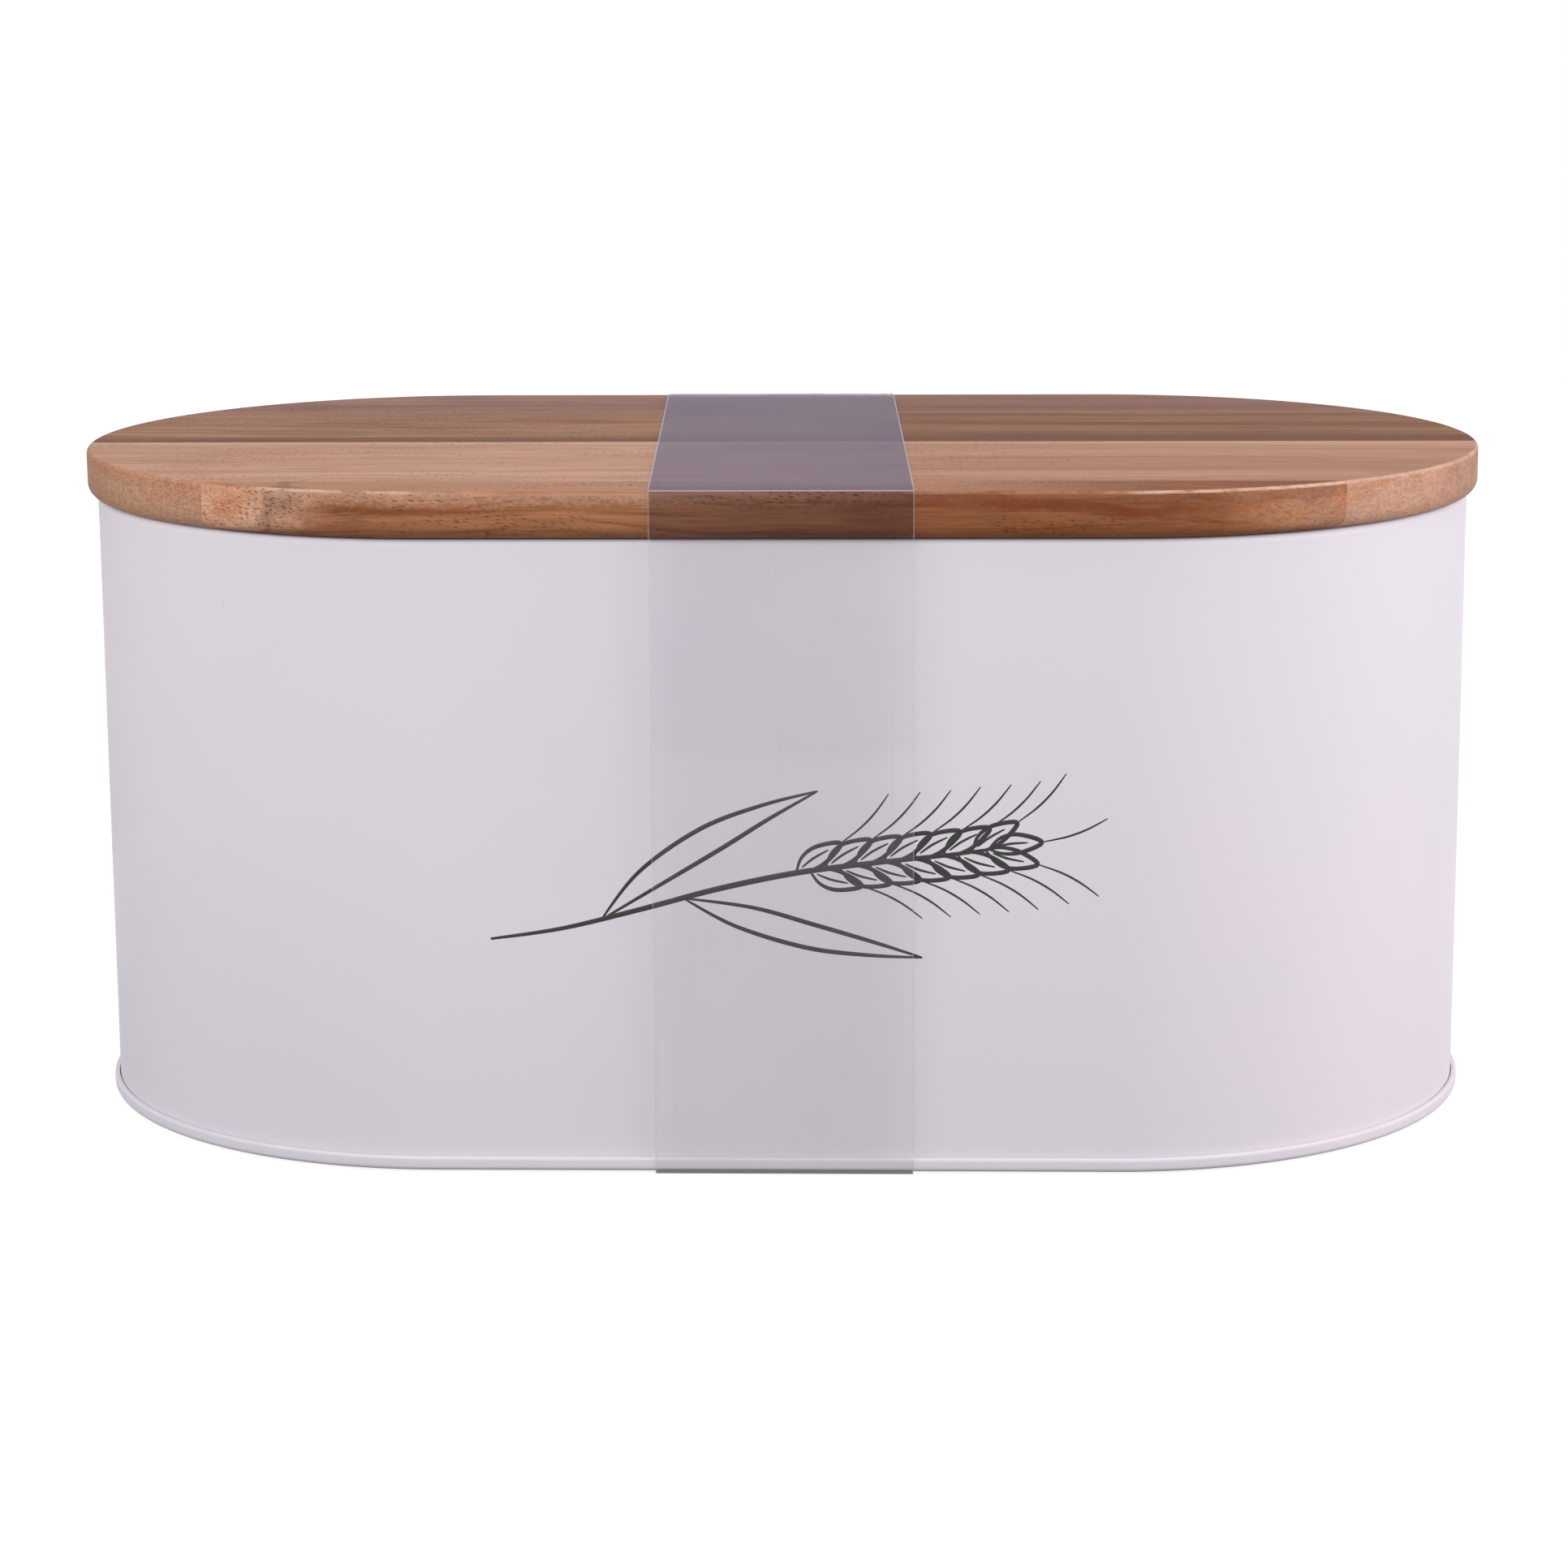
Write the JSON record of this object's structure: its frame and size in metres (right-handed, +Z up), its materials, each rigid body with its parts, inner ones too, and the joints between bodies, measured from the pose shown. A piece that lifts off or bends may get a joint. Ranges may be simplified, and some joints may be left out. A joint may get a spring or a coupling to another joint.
{
  "type": "bread box",
  "caption": "Oval steel bread box with a lift-off glued wood lid, a silicone lid seal and a clear film band around its middle.",
  "frame": {"origin": "middle of the footprint, on the underside of the film that the box stands on", "axes": "+X along the box, +Y from its front to its back, +Z up; the front is the side of smaller Y"},
  "size_m": [0.3394, 0.182, 0.161],
  "materials": {
    "white_coat": "satin white powder coat",
    "wood_orange": "oiled hardwood",
    "wood_pale": "oiled hardwood",
    "wood_olive": "oiled hardwood",
    "wood_mauve": "oiled hardwood",
    "silicone": "matt translucent white silicone",
    "film": "clear glossy film",
    "black_print": "thin black printed line ornament on the front"
  },
  "bodies": {
    "box": {"body_wall": "white_coat", "base_pan": "white_coat"},
    "lid": {"lid_stave_1": "wood_orange", "lid_stave_2": "wood_pale", "lid_stave_3": "wood_olive", "lid_stave_4": "wood_mauve", "lid_seal": "silicone"},
    "lower_band": {"band_lower": "film"},
    "upper_band": {"band_upper": "film"}
  },
  "joints": [
    {"name": "lid_lift", "type": "slide", "parent": "box", "child": "lid", "axis": [0, 0, 1], "range_m": [0, 0.15]},
    {"name": "lower_band_slide", "type": "slide", "parent": "box", "child": "lower_band", "axis": [1, 0, 0], "range_m": [-0.21, 0.21]},
    {"name": "upper_band_slide", "type": "slide", "parent": "lid", "child": "upper_band", "axis": [1, 0, 0], "range_m": [-0.21, 0.21]}
  ],
  "couplings": [
    {"joint": "upper_band_slide", "follows": "lower_band_slide", "ratio": 1}
  ]
}
